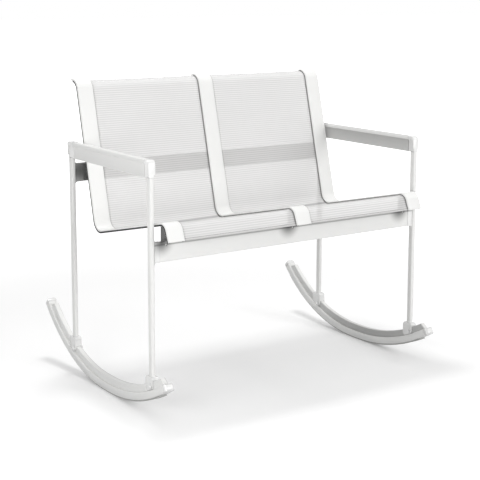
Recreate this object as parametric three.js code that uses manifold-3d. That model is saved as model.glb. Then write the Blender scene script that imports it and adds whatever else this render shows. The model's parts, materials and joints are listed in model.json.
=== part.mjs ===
// A rocking bench for two: two side frames on curved rockers, joined by two deep
// crossbars that carry three flat L-shaped rails, with a woven sling stretched
// between each pair of rails and held by splines in grooves along their sides.
// Millimetres, +Z up, the front towards -Y. The origin is on the floor, in the
// middle of the bench's outline.

import * as THREE from 'three';
import { mergeVertices } from 'three/addons/utils/BufferGeometryUtils.js';
import Module from 'manifold-3d';

const wasm = await Module();
wasm.setup();

const degree = Math.PI / 180;

// Fit between pieces that touch, and the overlap of two shapes joined into one
const fit_gap = 0.3;
const overlap = 1;

// Side frames. Their height, and the distance between front and rear legs, follow the seat.
const leg_spacing = 852;
const arm_rise = 235.4;

// Legs, slimmer at the foot
const leg_width = 13;
const leg_depth = 18;
const leg_corner = 4;
const leg_foot_share = 0.87;

// Arm rail: a rounded cap over a thinner web with a lip along its lower edge
const arm_cap_width = 20;
const arm_cap_height = 11;
const arm_cap_corner = 4.5;
const arm_web_width = 14;
const arm_web_height = 32.9;
const arm_lip_height = 3;
const arm_lip_reach = 1;

// Corner castings between arm and legs
const front_corner_radius = 11;
const front_corner_grip = 6.5;
const rear_corner_radius = 5;
const rear_corner_grip = 15;
const corner_edge = 1.8;
const cap_skirt_drop = 36;
const cap_skirt_toe = 4.5;

// Crossbars and their end castings
const bar_height = 50.8;
const bar_thickness = 10;
const bar_edge = 2;
const rear_bar_rise = 124.6;
const bar_end_length = 16;
const bar_end_fillet = 4;
const bar_end_thickness = 12;

// Rockers: a rounded flange with a web standing on it, over a thin glide strip
const rocker_low_y = 16;
const rocker_flat = 24;
const rocker_front_radius = 581;
const rocker_rear_radius = 475;
const rocker_front_reach = 338;
const rocker_rear_reach = 414;
const flange_width = 28;
const flange_height = 20;
const flange_edge = 3;
const web_width = 14;
const web_height = 17.7;
const web_edge = 1.5;
const glide_width = 21;
const glide_height = 3;
const web_front_setback = 0.5;
const web_rear_setback = 10;
const web_end_slope = 9;
const glide_setback = 45;
const rocker_cap_length = 13.5;
const rocker_cap_corner = 11;
const rocker_nose_radius = 8.5;

// Cast feet that clamp the legs to the rocker webs
const foot_rise = 17;
const foot_width = 20;
const foot_depth = 36;
const foot_shoulder_depth = 27;
const foot_shoulder_drop = 5;
const foot_toe_radius = 9;
const foot_edge = 1.6;
const foot_socket_depth = 8;
const foot_boss_radius = 8.2;
const foot_boss_height = 1.2;
const foot_bolt_lead = 9;

// Seat line, along the rails under their raised upper face, from the front tail to
// the top tail
const rail_pitch = 385.4;
const seat_corner_height = 406.9;
const seat_overhang = 16.65;
const seat_slope = 12.9 * degree;
const seat_length = 352.3;
const back_lean = 14.2 * degree;
const back_length = 387.6;
const bend_radius = 32;
const front_curl_radius = 22.3;
const front_curl_end = 67.8 * degree;
const front_tail = 29;
const top_curl_radius = 29.6;
const top_curl_end = -8 * degree;
const top_tail = 8.3;

// Seat rails, with their crown over the seat line and grooved sides, the slings
// between them and the splines that fill the grooves behind the slings' edges
const rail_width = 46.8;
const rail_thickness = 5.2;
const rail_crown = 3.4;
const rail_edge = 0.8;
const groove_height = 2.8;
const groove_depth = 7;
const sling_thickness = 1.6;
const sling_entry = 3;
const sling_end_gap = 0.8;
const spline_width = 3;
const spline_edge = 0.6;
const spline_end_gap = 4;

// Brackets between the crossbars and the seat rails
const front_bracket_width = 18;
const front_bracket_height = 43;
const front_bracket_nose = 27;
const front_bracket_nose_rise = 22;
const front_bracket_foot = 5;
const front_bracket_lap = 18;
const front_bracket_lap_thickness = 2;
const front_bracket_edge = 0.7;
const rear_bracket_width = 21;
const rear_bracket_reach = 49.6;
const rear_bracket_plate = 4;
const rear_bracket_plate_height = 44;
const rear_bracket_arm_width = 12;
const rear_bracket_arm_height = 24;
const rear_bracket_edge = 0.8;

// Bolts
const bolt_radius = 2.5;
const bolt_head_radius = 6;
const bolt_head_height = 3;
const bolt_nut_radius = 5;
const bracket_bolt_length = 10;

// Facets of the round stretches
const corner_steps = 3;
const front_curl_steps = 8;
const bend_steps = 8;
const top_curl_steps = 8;
const rocker_front_steps = 13;
const rocker_rear_steps = 16;
const cap_steps = 1;
const rounding_steps = 5;
const round_sides = 16;
const nut_sides = 6;

// Shape of a bolt's domed head, shares of its height and radius
const bolt_rim_share = 0.35;
const bolt_shoulder_share = 0.8;
const bolt_crown_share = 0.7;

const white_paint = { color: 0xe9e9e8, roughness: 0.38, metalness: 0.1 };
const cast_paint = { color: 0xe4e4e3, roughness: 0.42, metalness: 0.1 };
const woven_mesh = { color: 0xe4e3e1, roughness: 0.8, metalness: 0 };
const glide_nylon = { color: 0xbdbdbb, roughness: 0.6, metalness: 0 };
const plated_steel = { color: 0xdadada, roughness: 0.3, metalness: 0.6 };

// Places worked out from the sizes above
const leg_x = leg_spacing / 2;
const seat_run = seat_length * Math.cos(seat_slope) - seat_overhang;
const rear_bolt_rise = rear_bar_rise + bar_height / 2;
const back_run = rear_bolt_rise * Math.tan(back_lean) + rail_thickness / Math.cos(back_lean);
const leg_pitch = seat_run + back_run + rear_bracket_reach + bar_thickness / 2;
const leg_y = leg_pitch / 2;
const seat_corner_y = seat_run - leg_y;
const arm_height = seat_corner_height + arm_rise;
const front_bar_top = seat_corner_height + seat_run * Math.tan(seat_slope) - front_bracket_height;
const front_bar_base = front_bar_top - bar_height;
const rear_bar_base = seat_corner_height + rear_bar_rise;
const arm_depth = arm_cap_height + arm_web_height;
const leg_top = arm_height - arm_depth - fit_gap;
const flange_top = glide_height + fit_gap + flange_height;
const web_top = flange_top + web_height;
const groove_drop = (rail_thickness - groove_height) / 2;
const sling_drop = (rail_thickness - sling_thickness) / 2;
const sling_width = rail_pitch - rail_width + 2 * sling_entry;
const bar_face = leg_y - bar_thickness / 2;
const bar_outer_face = leg_y + bar_thickness / 2;
const bar_end_face = leg_x - leg_width / 2 - fit_gap;
const bar_reach = bar_end_face - bar_end_length - fit_gap;
const front_bolt_height = front_bar_top - front_bracket_lap / 2;
const rear_bolt_height = seat_corner_height + rear_bolt_rise;
const front_bolt_face = front_bracket_lap_thickness - bar_face + 2 * fit_gap;
const rear_bolt_face = bar_outer_face + fit_gap;

function toSolid(geometry) {
  const bare = geometry.clone();
  bare.deleteAttribute('normal');
  bare.deleteAttribute('uv');
  const merged = mergeVertices(bare, fit_gap / 1000);
  const vertProperties = new Float32Array(merged.attributes.position.array);
  const triVerts = new Uint32Array(merged.index.array);
  return new wasm.Manifold(new wasm.Mesh({ numProp: 3, vertProperties, triVerts }));
}

function toGeometry(solid) {
  const mesh = solid.getMesh();
  const geometry = new THREE.BufferGeometry();
  geometry.setAttribute('position', new THREE.BufferAttribute(mesh.vertProperties, 3));
  geometry.setIndex(new THREE.BufferAttribute(mesh.triVerts, 1));
  return geometry;
}

// An outline extruded along its own third axis, centred on it, with eased edges
function slab(outline, width, edge, edge_steps = 1) {
  const shape = new THREE.Shape(outline);
  const geometry = new THREE.ExtrudeGeometry(shape, {
    depth: width - 2 * edge,
    bevelEnabled: edge > 0,
    bevelThickness: edge,
    bevelSize: edge,
    bevelOffset: -edge,
    bevelSegments: edge_steps,
    curveSegments: corner_steps,
  });
  geometry.translate(0, 0, edge - width / 2);
  return geometry;
}

// Turns a slab whose outline is a side view, (y, z), to run across the bench
function across(geometry) {
  const turn = new THREE.Matrix4().makeBasis(
    new THREE.Vector3(0, 1, 0),
    new THREE.Vector3(0, 0, 1),
    new THREE.Vector3(1, 0, 0),
  );
  return geometry.applyMatrix4(turn);
}

// Turns a slab whose outline is a front view, (x, z), to run front to back
function alongDepth(geometry) {
  return geometry.rotateX(Math.PI / 2);
}

function point(u, v) {
  return new THREE.Vector2(u, v);
}

// Points of a quarter or other round stretch about a centre
function arcPoints(centre, radius, from, to, steps) {
  const points = [];
  for (let i = 0; i <= steps; i += 1) {
    const angle = from + ((to - from) * i) / steps;
    points.push(point(centre.x + radius * Math.cos(angle), centre.y + radius * Math.sin(angle)));
  }
  return points;
}

function roundedRectangle(width, depth, radius) {
  const x = width / 2 - radius;
  const y = depth / 2 - radius;
  const quarter = Math.PI / 2;
  return [[x, y, 0], [-x, y, 1], [-x, -y, 2], [x, -y, 3]].flatMap(([cx, cy, turn]) => (
    arcPoints(point(cx, cy), radius, turn * quarter, (turn + 1) * quarter, corner_steps)
  ));
}

// A side view of stations: a point on a line and the direction that is up from it
function station(at, heading) {
  return { at, up: point(-Math.sin(heading), Math.cos(heading)), heading };
}

function offset({ at, up }, rise) {
  return at.clone().addScaledVector(up, rise);
}

// A strip between two heights above a line of stations
function strip(stations, low, high) {
  return [
    ...stations.map((s) => offset(s, low)),
    ...stations.map((s) => offset(s, high)).reverse(),
  ];
}

function walk(last, length) {
  const step = point(Math.cos(last.heading), Math.sin(last.heading)).multiplyScalar(length);
  return station(last.at.clone().add(step), last.heading);
}

// A round stretch of a line; it bends upwards where the turn is more than zero
function bend(last, radius, turn, steps) {
  const sense = Math.sign(turn);
  const centre = offset(last, sense * radius);
  const stations = [];
  for (let i = 1; i <= steps; i += 1) {
    const heading = last.heading + (turn * i) / steps;
    const from_centre = point(Math.sin(heading), -Math.cos(heading)).multiplyScalar(sense * radius);
    stations.push(station(centre.clone().add(from_centre), heading));
  }
  return stations;
}

// The seat line: front tail, front curl, seat, bend, back, top curl and top tail.
// Each end can be cut short.
function seatLine(front_cut, top_cut) {
  const back_heading = Math.PI / 2 - back_lean;
  const bend_turn = back_heading + seat_slope;
  const bend_tangent = bend_radius * Math.tan(bend_turn / 2);
  const line = [station(point(0, 0), front_curl_end)];
  const last = () => line[line.length - 1];
  line.push(walk(last(), front_tail - front_cut));
  line.push(...bend(last(), front_curl_radius, -(front_curl_end + seat_slope), front_curl_steps));
  const corner = walk(last(), seat_length).at;
  line.push(walk(last(), seat_length - bend_tangent));
  line.push(...bend(last(), bend_radius, bend_turn, bend_steps));
  line.push(walk(last(), back_length - bend_tangent));
  line.push(...bend(last(), top_curl_radius, top_curl_end - back_heading, top_curl_steps));
  line.push(walk(last(), top_tail - top_cut));
  const shift = point(seat_corner_y, seat_corner_height).sub(corner);
  return line.map((s) => station(s.at.clone().add(shift), s.heading));
}

// A piece that follows the seat line, from one depth below it to another
function seatStrip(width, edge, top_drop, under_drop, front_cut, top_cut) {
  return across(slab(strip(seatLine(front_cut, top_cut), -under_drop, -top_drop), width, edge));
}

// Height of the seat's straight stretch over a place
function seatHeight(y) {
  return seat_corner_height + (seat_corner_y - y) * Math.tan(seat_slope);
}

// Place of the face a depth behind the back's straight stretch, at a height
function backRearFace(z, drop) {
  const rise = z - seat_corner_height;
  return seat_corner_y + rise * Math.tan(back_lean) + drop / Math.cos(back_lean);
}

// The rocker's lowest line: a front arc, a short flat and a rear arc. Distances
// along it count from the middle of the flat, forwards below zero.
function rockerStation(distance) {
  const half_flat = rocker_flat / 2;
  const forwards = distance < 0;
  const radius = forwards ? rocker_front_radius : rocker_rear_radius;
  const angle = Math.max(Math.abs(distance) - half_flat, 0) / radius;
  const side = forwards ? -1 : 1;
  const out = Math.min(Math.abs(distance), half_flat) + radius * Math.sin(angle);
  const rise = radius - radius * Math.cos(angle);
  return station(point(rocker_low_y + side * out, rise), side * angle);
}

function rockerLine(from, to, steps) {
  const stations = [];
  for (let i = 0; i <= steps; i += 1) {
    stations.push(rockerStation(from + ((to - from) * i) / steps));
  }
  return stations;
}

function wholeRockerLine(front_end, rear_end) {
  const half_flat = rocker_flat / 2;
  return [
    ...rockerLine(-front_end, -half_flat, rocker_front_steps),
    ...rockerLine(half_flat, rear_end, rocker_rear_steps),
  ];
}

// Height of the line that runs a rise above the rocker's lowest line, over a place
function rockerHeight(y, rise) {
  const radius = y < rocker_low_y ? rocker_front_radius : rocker_rear_radius;
  const run = Math.max(Math.abs(y - rocker_low_y) - rocker_flat / 2, 0);
  return radius - Math.sqrt((radius - rise) ** 2 - run ** 2);
}

const bench = new THREE.Group();

function add(name, geometry, finish, x = 0, y = 0, z = 0) {
  const mesh = new THREE.Mesh(geometry, new THREE.MeshStandardMaterial(finish));
  mesh.name = name;
  mesh.position.set(x, y, z);
  bench.add(mesh);
  return mesh;
}

// The top of the foot at y, above the rocker's web there
function footTop(y) {
  return rockerHeight(y, web_top) + foot_rise;
}

// The leg at y, standing in its foot's socket and slimmer towards it
function leg(y, clearance) {
  const foot_top = footTop(y);
  const base = foot_top - foot_socket_depth + fit_gap - clearance;
  const length = leg_top - base;
  const outline = roundedRectangle(leg_width + 2 * clearance, leg_depth + 2 * clearance, leg_corner);
  const geometry = slab(outline, length, 0).translate(0, 0, base + length / 2);
  const place = geometry.attributes.position;
  for (let i = 0; i < place.count; i += 1) {
    const share = (leg_top - place.getZ(i)) / (leg_top - foot_top);
    const slim = 1 - (1 - leg_foot_share) * share;
    place.setX(i, place.getX(i) * slim);
    place.setY(i, place.getY(i) * slim);
  }
  return geometry;
}

// Half of the arm's outline, (x, z) down from its top, on the side given
function armHalf(side) {
  const cap = arm_cap_width / 2;
  const web = arm_web_width / 2;
  const centre = point(side * (cap - arm_cap_corner), -arm_cap_corner);
  const from = side > 0 ? 0 : Math.PI;
  const top = arcPoints(centre, arm_cap_corner, Math.PI / 2, from, corner_steps);
  return [
    ...top,
    point(side * cap, arm_cap_corner / 2 - arm_cap_height),
    point(side * web, -arm_cap_height),
    point(side * web, arm_lip_height - arm_depth),
    point(side * (web + arm_lip_reach), arm_lip_height / 2 - arm_depth),
    point(side * (web + arm_lip_reach), -arm_depth),
  ];
}

function armRail() {
  const front = leg_depth / 2 + front_corner_grip + fit_gap - leg_y;
  const rear = leg_y - leg_depth / 2 - rear_corner_grip - fit_gap;
  const outline = [...armHalf(1), ...armHalf(-1).reverse()].reverse();
  const geometry = alongDepth(slab(outline, rear - front, 0));
  return geometry.translate(0, (front + rear) / 2, arm_height);
}

// The casting that turns the arm down into a leg. It is drawn for the front, with
// its rounded corner towards -Y, and turned about for the rear.
function cornerCasting(radius, grip) {
  const front = -leg_depth / 2;
  const back = leg_depth / 2 + grip;
  const low = -arm_depth;
  const rounding = arcPoints(point(front + radius, -radius), radius, Math.PI / 2, Math.PI, rounding_steps);
  const core = across(slab(
    [point(front, low), point(back, low), point(back, 0), ...rounding],
    arm_web_width,
    corner_edge,
  ));
  const skirt_back = front + arm_cap_height - arm_cap_corner;
  const cap = across(slab(
    [
      point(front, -cap_skirt_drop),
      point(front + cap_skirt_toe, -cap_skirt_drop),
      point(skirt_back, -arm_cap_height - arm_cap_corner),
      point(skirt_back + arm_cap_corner, -arm_cap_height),
      point(back, -arm_cap_height),
      point(back, 0),
      ...rounding,
    ],
    arm_cap_width,
    corner_edge,
    2,
  ));
  return toGeometry(toSolid(core).add(toSolid(cap)));
}

// A crossbar around its own middle, with a hole for each bracket's bolt
function crossbar(hole_height) {
  const outline = roundedRectangle(bar_thickness, bar_height, bar_edge);
  let bar = toSolid(across(slab(outline, 2 * bar_reach, 0)));
  for (const place of [-rail_pitch, 0, rail_pitch]) {
    const hole = boltBar(bolt_radius + fit_gap, 2 * bar_height);
    bar = bar.subtract(toSolid(hole.rotateZ(Math.PI / 2).translate(place, 0, hole_height)));
  }
  return toGeometry(bar);
}

// The casting at a crossbar's end, flared where it meets the leg. It is drawn for
// the right end, around the bar's middle.
function barEnd() {
  const half = bar_height / 2;
  const inner = bar_end_face - bar_end_length;
  const centre_x = bar_end_face - bar_end_fillet;
  const top = arcPoints(
    point(centre_x, half + bar_end_fillet), bar_end_fillet, -Math.PI / 2, 0, corner_steps,
  );
  const low = top.map(({ x, y }) => point(x, -y)).reverse();
  const outline = [point(inner, half), ...top, ...low, point(inner, -half)].reverse();
  return alongDepth(slab(outline, bar_end_thickness, 0));
}

// The web stands on the flange. Its ends slope back from the flange to its top.
function rockerBody() {
  const flange_front = rocker_front_reach - rocker_cap_length - fit_gap;
  const flange_rear = rocker_rear_reach - rocker_cap_length - fit_gap;
  const flange_line = wholeRockerLine(flange_front, flange_rear);
  const web_front = flange_front - web_front_setback;
  const web_rear = flange_rear - web_rear_setback;
  const foot_line = wholeRockerLine(web_front, web_rear);
  const top_line = wholeRockerLine(web_front - web_end_slope, web_rear - web_end_slope);
  const web_outline = [
    ...foot_line.map((s) => offset(s, flange_top - overlap)),
    ...top_line.map((s) => offset(s, web_top)).reverse(),
  ];
  const flange = across(slab(
    strip(flange_line, glide_height + fit_gap, flange_top), flange_width, flange_edge, 2,
  ));
  return toSolid(flange).add(toSolid(across(slab(web_outline, web_width, web_edge))));
}

// The plug that closes a rocker's flange at one tip. It ends in a nose that is
// rounded from the side and from above.
function rockerCap(end) {
  const reach = end < 0 ? rocker_front_reach : rocker_rear_reach;
  const round = rocker_nose_radius;
  const line = rockerLine(end * (reach - rocker_cap_length), end * (reach - round), cap_steps);
  const tip = line[line.length - 1];
  const out = point(Math.cos(tip.heading), Math.sin(tip.heading)).multiplyScalar(end);
  const low = glide_height + fit_gap;
  const nose = [
    ...arcPoints(point(0, low + round), round, -Math.PI / 2, 0, corner_steps),
    ...arcPoints(point(0, flange_top - round), round, 0, Math.PI / 2, corner_steps),
  ];
  const outline = [
    ...line.slice(0, -1).map((s) => offset(s, low)),
    ...nose.map(({ x, y }) => offset(tip, y).addScaledVector(out, x)),
    ...line.slice(0, -1).map((s) => offset(s, flange_top)).reverse(),
  ];
  if (end < 0) outline.reverse();
  const plug = toSolid(across(slab(outline, flange_width, flange_edge, 2)));
  const half = flange_width / 2;
  const corner = rocker_cap_corner;
  const corner_out = round - corner;
  const left = arcPoints(point(corner - half, corner_out), corner, Math.PI / 2, Math.PI, rounding_steps);
  const right = arcPoints(point(half - corner, corner_out), corner, 0, Math.PI / 2, rounding_steps);
  const tongue = slab(
    [...right, ...left, point(-half, -flange_width), point(half, -flange_width)],
    2 * flange_width,
    0,
  );
  const turn = new THREE.Matrix4().makeBasis(
    new THREE.Vector3(1, 0, 0),
    new THREE.Vector3(0, out.x, out.y),
    new THREE.Vector3(0, -out.y, out.x),
  );
  const middle = offset(tip, (low + flange_top) / 2);
  tongue.applyMatrix4(turn).translate(0, middle.x, middle.y);
  return toGeometry(plug.intersect(toSolid(tongue)));
}

function glideStrip() {
  const line = wholeRockerLine(rocker_front_reach - glide_setback, rocker_rear_reach - glide_setback);
  return across(slab(strip(line, 0, glide_height), glide_width, 0));
}

// The room that a rocker's flange and web take under and inside the foot at y
function rockerRoom(y) {
  const middle = y - rocker_low_y;
  const line = rockerLine(middle - 2 * foot_depth, middle + 2 * foot_depth, rocker_front_steps);
  const web = strip(line, 0, web_top + fit_gap);
  const flange = strip(line, 0, flange_top + fit_gap);
  return toSolid(across(slab(web, web_width + 2 * fit_gap, 0)))
    .add(toSolid(across(slab(flange, flange_width + 2 * fit_gap, 0))));
}

function boltBar(radius, length) {
  return new THREE.CylinderGeometry(radius, radius, length, round_sides).rotateZ(Math.PI / 2);
}

// Where the bolt of the foot at y goes through the rocker's web
function footBoltPlace(y) {
  const place = y - foot_bolt_lead;
  return [place, rockerHeight(place, flange_top + web_height / 2)];
}

// A rounded lower corner of the foot at y: before it where the end is -1
function footToe(y, end) {
  const centre_y = y + end * (foot_depth / 2 - foot_toe_radius);
  const low = rockerHeight(centre_y, flange_top) + 2 * fit_gap;
  const centre = point(centre_y, low + foot_toe_radius);
  const outer = end > 0 ? 0 : -Math.PI;
  return arcPoints(centre, foot_toe_radius, -Math.PI / 2, outer, rounding_steps);
}

// A foot, drawn at its place along the rocker
function foot(y) {
  const half = foot_depth / 2;
  const shoulder = foot_shoulder_depth / 2;
  const top = footTop(y);
  const body = across(slab(
    [
      ...footToe(y, -1).reverse(),
      ...footToe(y, 1),
      point(y + half, top - foot_shoulder_drop),
      point(y + shoulder, top),
      point(y - shoulder, top),
      point(y - half, top - foot_shoulder_drop),
    ],
    foot_width,
    foot_edge,
    2,
  ));
  const boss_length = foot_width + 2 * foot_boss_height;
  const boss = boltBar(foot_boss_radius, boss_length).translate(0, ...footBoltPlace(y));
  const hole = boltBar(bolt_radius + fit_gap, 2 * foot_width).translate(0, ...footBoltPlace(y));
  const socket = leg(y, fit_gap).translate(0, y, 0);
  return toGeometry(
    toSolid(body).add(toSolid(boss)).subtract(rockerRoom(y)).subtract(toSolid(hole)).subtract(toSolid(socket)),
  );
}

function rocker() {
  let body = rockerBody();
  for (const y of [-leg_y, leg_y]) {
    const hole = boltBar(bolt_radius + fit_gap, 2 * foot_width);
    body = body.subtract(toSolid(hole.translate(0, ...footBoltPlace(y))));
  }
  return toGeometry(body);
}

// A bolt with its domed head on the plane x = 0, towards +X, and its shank behind it
function bolt(length) {
  const profile = [
    point(0, 0),
    point(bolt_head_radius, 0),
    point(bolt_head_radius, bolt_head_height * bolt_rim_share),
    point(bolt_head_radius * bolt_crown_share, bolt_head_height * bolt_shoulder_share),
    point(0, bolt_head_height),
  ];
  const head = new THREE.LatheGeometry(profile, round_sides).rotateZ(-Math.PI / 2);
  const shank = boltBar(bolt_radius, length + overlap).translate((overlap - length) / 2, 0, 0);
  return toSolid(head).add(toSolid(shank));
}

// The through bolt of a foot: domed head outside, shank through foot and web, nut inside
function footBolt(y, side) {
  const face = foot_width / 2 + foot_boss_height + fit_gap;
  const nut = new THREE.CylinderGeometry(bolt_nut_radius, bolt_nut_radius, bolt_head_height, nut_sides);
  nut.rotateZ(Math.PI / 2).translate(-2 * face - bolt_head_height / 2, 0, 0);
  const geometry = toGeometry(bolt(2 * face + overlap).add(toSolid(nut))).translate(face, 0, 0);
  if (side < 0) geometry.rotateZ(Math.PI);
  return geometry.translate(0, ...footBoltPlace(y));
}

// The bolt of a bracket. The front one goes forwards from the bracket's lap into
// the crossbar, the rear one forwards through the crossbar into the bracket.
function bracketBolt() {
  return toGeometry(bolt(bracket_bolt_length)).rotateZ(Math.PI / 2);
}

function bracketBoltHole(y, z) {
  const hole = boltBar(bolt_radius + fit_gap, 2 * bracket_bolt_length);
  return toSolid(hole.rotateZ(Math.PI / 2).translate(0, y, z));
}

// The casting that stands on the front crossbar and laps its back, under a seat
// rail. Its nose reaches forwards into the rail's curl.
function frontBracket() {
  const base = front_bar_top + fit_gap;
  const back = fit_gap - bar_face;
  const lap_back = back + front_bracket_lap_thickness;
  const front = -bar_outer_face;
  const nose = front - front_bracket_nose;
  const body = across(slab(
    [
      point(front, base),
      point(back, base),
      point(back, base - front_bracket_lap),
      point(lap_back, base - front_bracket_lap),
      point(lap_back, seatHeight(lap_back)),
      point(nose, seatHeight(nose)),
      point(nose, base + front_bracket_nose_rise),
      point(front, base + front_bracket_foot),
    ],
    front_bracket_width,
    front_bracket_edge,
  ));
  const rail_room = seatStrip(rail_width, 0, -bend_radius / 2, rail_thickness + fit_gap, 0, 0);
  return toGeometry(
    toSolid(body).subtract(toSolid(rail_room)).subtract(bracketBoltHole(lap_back, front_bolt_height)),
  );
}

// The arm that stands on the rear crossbar's front face and holds a rail's back
function rearBracket() {
  const half_plate = rear_bracket_plate_height / 2;
  const half_arm = rear_bracket_arm_height / 2;
  const face = bar_face - fit_gap;
  const rail = (z) => backRearFace(z, rail_thickness + fit_gap);
  const low = rear_bolt_height - half_plate;
  const high = rear_bolt_height + half_plate;
  const arm_low = rear_bolt_height - half_arm;
  const arm_high = rear_bolt_height + half_arm;
  const plate = (foot_y, head_y) => toSolid(across(slab(
    [
      point(foot_y, low),
      point(foot_y + rear_bracket_plate, low),
      point(head_y + rear_bracket_plate, high),
      point(head_y, high),
    ],
    rear_bracket_width,
    rear_bracket_edge,
  )));
  const bar_plate = plate(face - rear_bracket_plate, face - rear_bracket_plate);
  const rail_plate = plate(rail(low), rail(high));
  const arm = toSolid(across(slab(
    [
      point(rail(arm_low) + overlap, arm_low),
      point(face - overlap, arm_low),
      point(face - overlap, arm_high),
      point(rail(arm_high) + overlap, arm_high),
    ],
    rear_bracket_arm_width,
    0,
  )));
  return toGeometry(bar_plate.add(rail_plate).add(arm).subtract(bracketBoltHole(face, rear_bolt_height)));
}

function sideFrame(name, side) {
  const x = side * leg_x;
  add(`${name}_front_leg`, leg(-leg_y, 0), white_paint, x, -leg_y);
  add(`${name}_rear_leg`, leg(leg_y, 0), white_paint, x, leg_y);
  add(`${name}_arm_rail`, armRail(), white_paint, x);
  const front_corner = cornerCasting(front_corner_radius, front_corner_grip);
  add(`${name}_front_corner`, front_corner, cast_paint, x, -leg_y, arm_height);
  const rear_corner = cornerCasting(rear_corner_radius, rear_corner_grip).rotateZ(Math.PI);
  add(`${name}_rear_corner`, rear_corner, cast_paint, x, leg_y, arm_height);
  add(`${name}_rocker`, rocker(), white_paint, x);
  add(`${name}_rocker_front_cap`, rockerCap(-1), cast_paint, x);
  add(`${name}_rocker_rear_cap`, rockerCap(1), cast_paint, x);
  add(`${name}_glide_strip`, glideStrip(), glide_nylon, x);
  add(`${name}_front_foot`, foot(-leg_y), cast_paint, x);
  add(`${name}_rear_foot`, foot(leg_y), cast_paint, x);
  add(`${name}_front_foot_bolt`, footBolt(-leg_y, side), plated_steel, x);
  add(`${name}_rear_foot_bolt`, footBolt(leg_y, side), plated_steel, x);
}

function crossFrame() {
  for (const [name, y, base, bolt_height] of [
    ['front', -leg_y, front_bar_base, front_bolt_height],
    ['rear', leg_y, rear_bar_base, rear_bolt_height],
  ]) {
    const middle = base + bar_height / 2;
    add(`${name}_crossbar`, crossbar(bolt_height - middle), white_paint, 0, y, middle);
    add(`${name}_right_bar_end`, barEnd(), cast_paint, 0, y, middle);
    add(`${name}_left_bar_end`, barEnd().rotateZ(Math.PI), cast_paint, 0, y, middle);
  }
}

// A rail along the seat line, raised over it by its crown, with a groove along
// each side
function seatRail() {
  let rail = toSolid(seatStrip(rail_width, rail_edge, -rail_crown, rail_thickness, 0, 0));
  for (const side of [-1, 1]) {
    const groove = seatStrip(
      2 * groove_depth, 0, groove_drop, groove_drop + groove_height, -overlap, -overlap,
    );
    rail = rail.subtract(toSolid(groove.translate((side * rail_width) / 2, 0, 0)));
  }
  return toGeometry(rail);
}

function seat() {
  for (const [name, place] of [['left', -rail_pitch], ['centre', 0], ['right', rail_pitch]]) {
    add(`${name}_seat_rail`, seatRail(), white_paint, place);
    add(`${name}_front_bracket`, frontBracket(), cast_paint, place);
    add(`${name}_front_bolt`, bracketBolt(), plated_steel, place, front_bolt_face, front_bolt_height);
    add(`${name}_rear_bracket`, rearBracket(), cast_paint, place);
    add(`${name}_rear_bolt`, bracketBolt(), plated_steel, place, rear_bolt_face, rear_bolt_height);
  }
}

// A spline fills a rail's groove behind the edge of the sling
function sling() {
  return seatStrip(sling_width, 0, sling_drop, sling_drop + sling_thickness, sling_end_gap, sling_end_gap);
}

function spline() {
  const top = groove_drop + fit_gap;
  const low = groove_drop + groove_height - fit_gap;
  return seatStrip(spline_width, spline_edge, top, low, spline_end_gap, spline_end_gap);
}

function slings() {
  const spline_x = sling_width / 2 + fit_gap + spline_width / 2;
  for (const [name, side] of [['left', -1], ['right', 1]]) {
    const x = (side * rail_pitch) / 2;
    add(`${name}_sling`, sling(), woven_mesh, x);
    add(`${name}_sling_left_spline`, spline(), glide_nylon, x - spline_x);
    add(`${name}_sling_right_spline`, spline(), glide_nylon, x + spline_x);
  }
}

sideFrame('left', -1);
sideFrame('right', 1);
crossFrame();
seat();
slings();

// The middle of the outline, front to back, goes over the origin
bench.updateMatrixWorld(true);
const outline = new THREE.Box3().setFromObject(bench);
bench.position.y = -(outline.min.y + outline.max.y) / 2;

export default bench;
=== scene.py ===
"""Rocking bench: paint, woven slings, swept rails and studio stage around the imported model."""

import json
import math
from collections import namedtuple

import bmesh
import bpy
from bpy.props import (
    FloatProperty,
    FloatVectorProperty,
    IntProperty,
    PointerProperty,
)
from mathutils import Matrix, Vector


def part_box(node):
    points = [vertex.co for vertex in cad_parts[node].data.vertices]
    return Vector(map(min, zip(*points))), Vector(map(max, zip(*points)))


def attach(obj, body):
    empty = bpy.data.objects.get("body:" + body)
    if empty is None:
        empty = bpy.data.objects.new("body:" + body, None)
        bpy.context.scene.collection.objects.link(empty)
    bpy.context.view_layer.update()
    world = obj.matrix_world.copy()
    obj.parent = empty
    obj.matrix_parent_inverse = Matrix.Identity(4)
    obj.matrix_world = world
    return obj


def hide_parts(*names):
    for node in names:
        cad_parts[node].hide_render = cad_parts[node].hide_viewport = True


bl_info = {
    "name": "Rocking bench",
    "version": (1, 0, 0),
    "blender": (4, 5, 0),
    "location": "3D View > Sidebar > Bench",
    "description": "Finishes the packed rocking bench: rails, slings, paint and stage",
    "category": "Object",
}

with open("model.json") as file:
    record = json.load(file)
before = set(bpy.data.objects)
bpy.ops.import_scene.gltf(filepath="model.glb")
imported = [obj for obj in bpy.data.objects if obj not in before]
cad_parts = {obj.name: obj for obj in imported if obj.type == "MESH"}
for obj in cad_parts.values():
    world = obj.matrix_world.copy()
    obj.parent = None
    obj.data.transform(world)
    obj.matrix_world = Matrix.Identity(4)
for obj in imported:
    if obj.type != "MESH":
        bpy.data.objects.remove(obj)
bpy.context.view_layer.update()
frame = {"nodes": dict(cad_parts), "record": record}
nodes = frame["nodes"]

MM = 0.001
BODY = "root"
SIDES = ("left", "right")
RAILS = ("left", "centre", "right")

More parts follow.
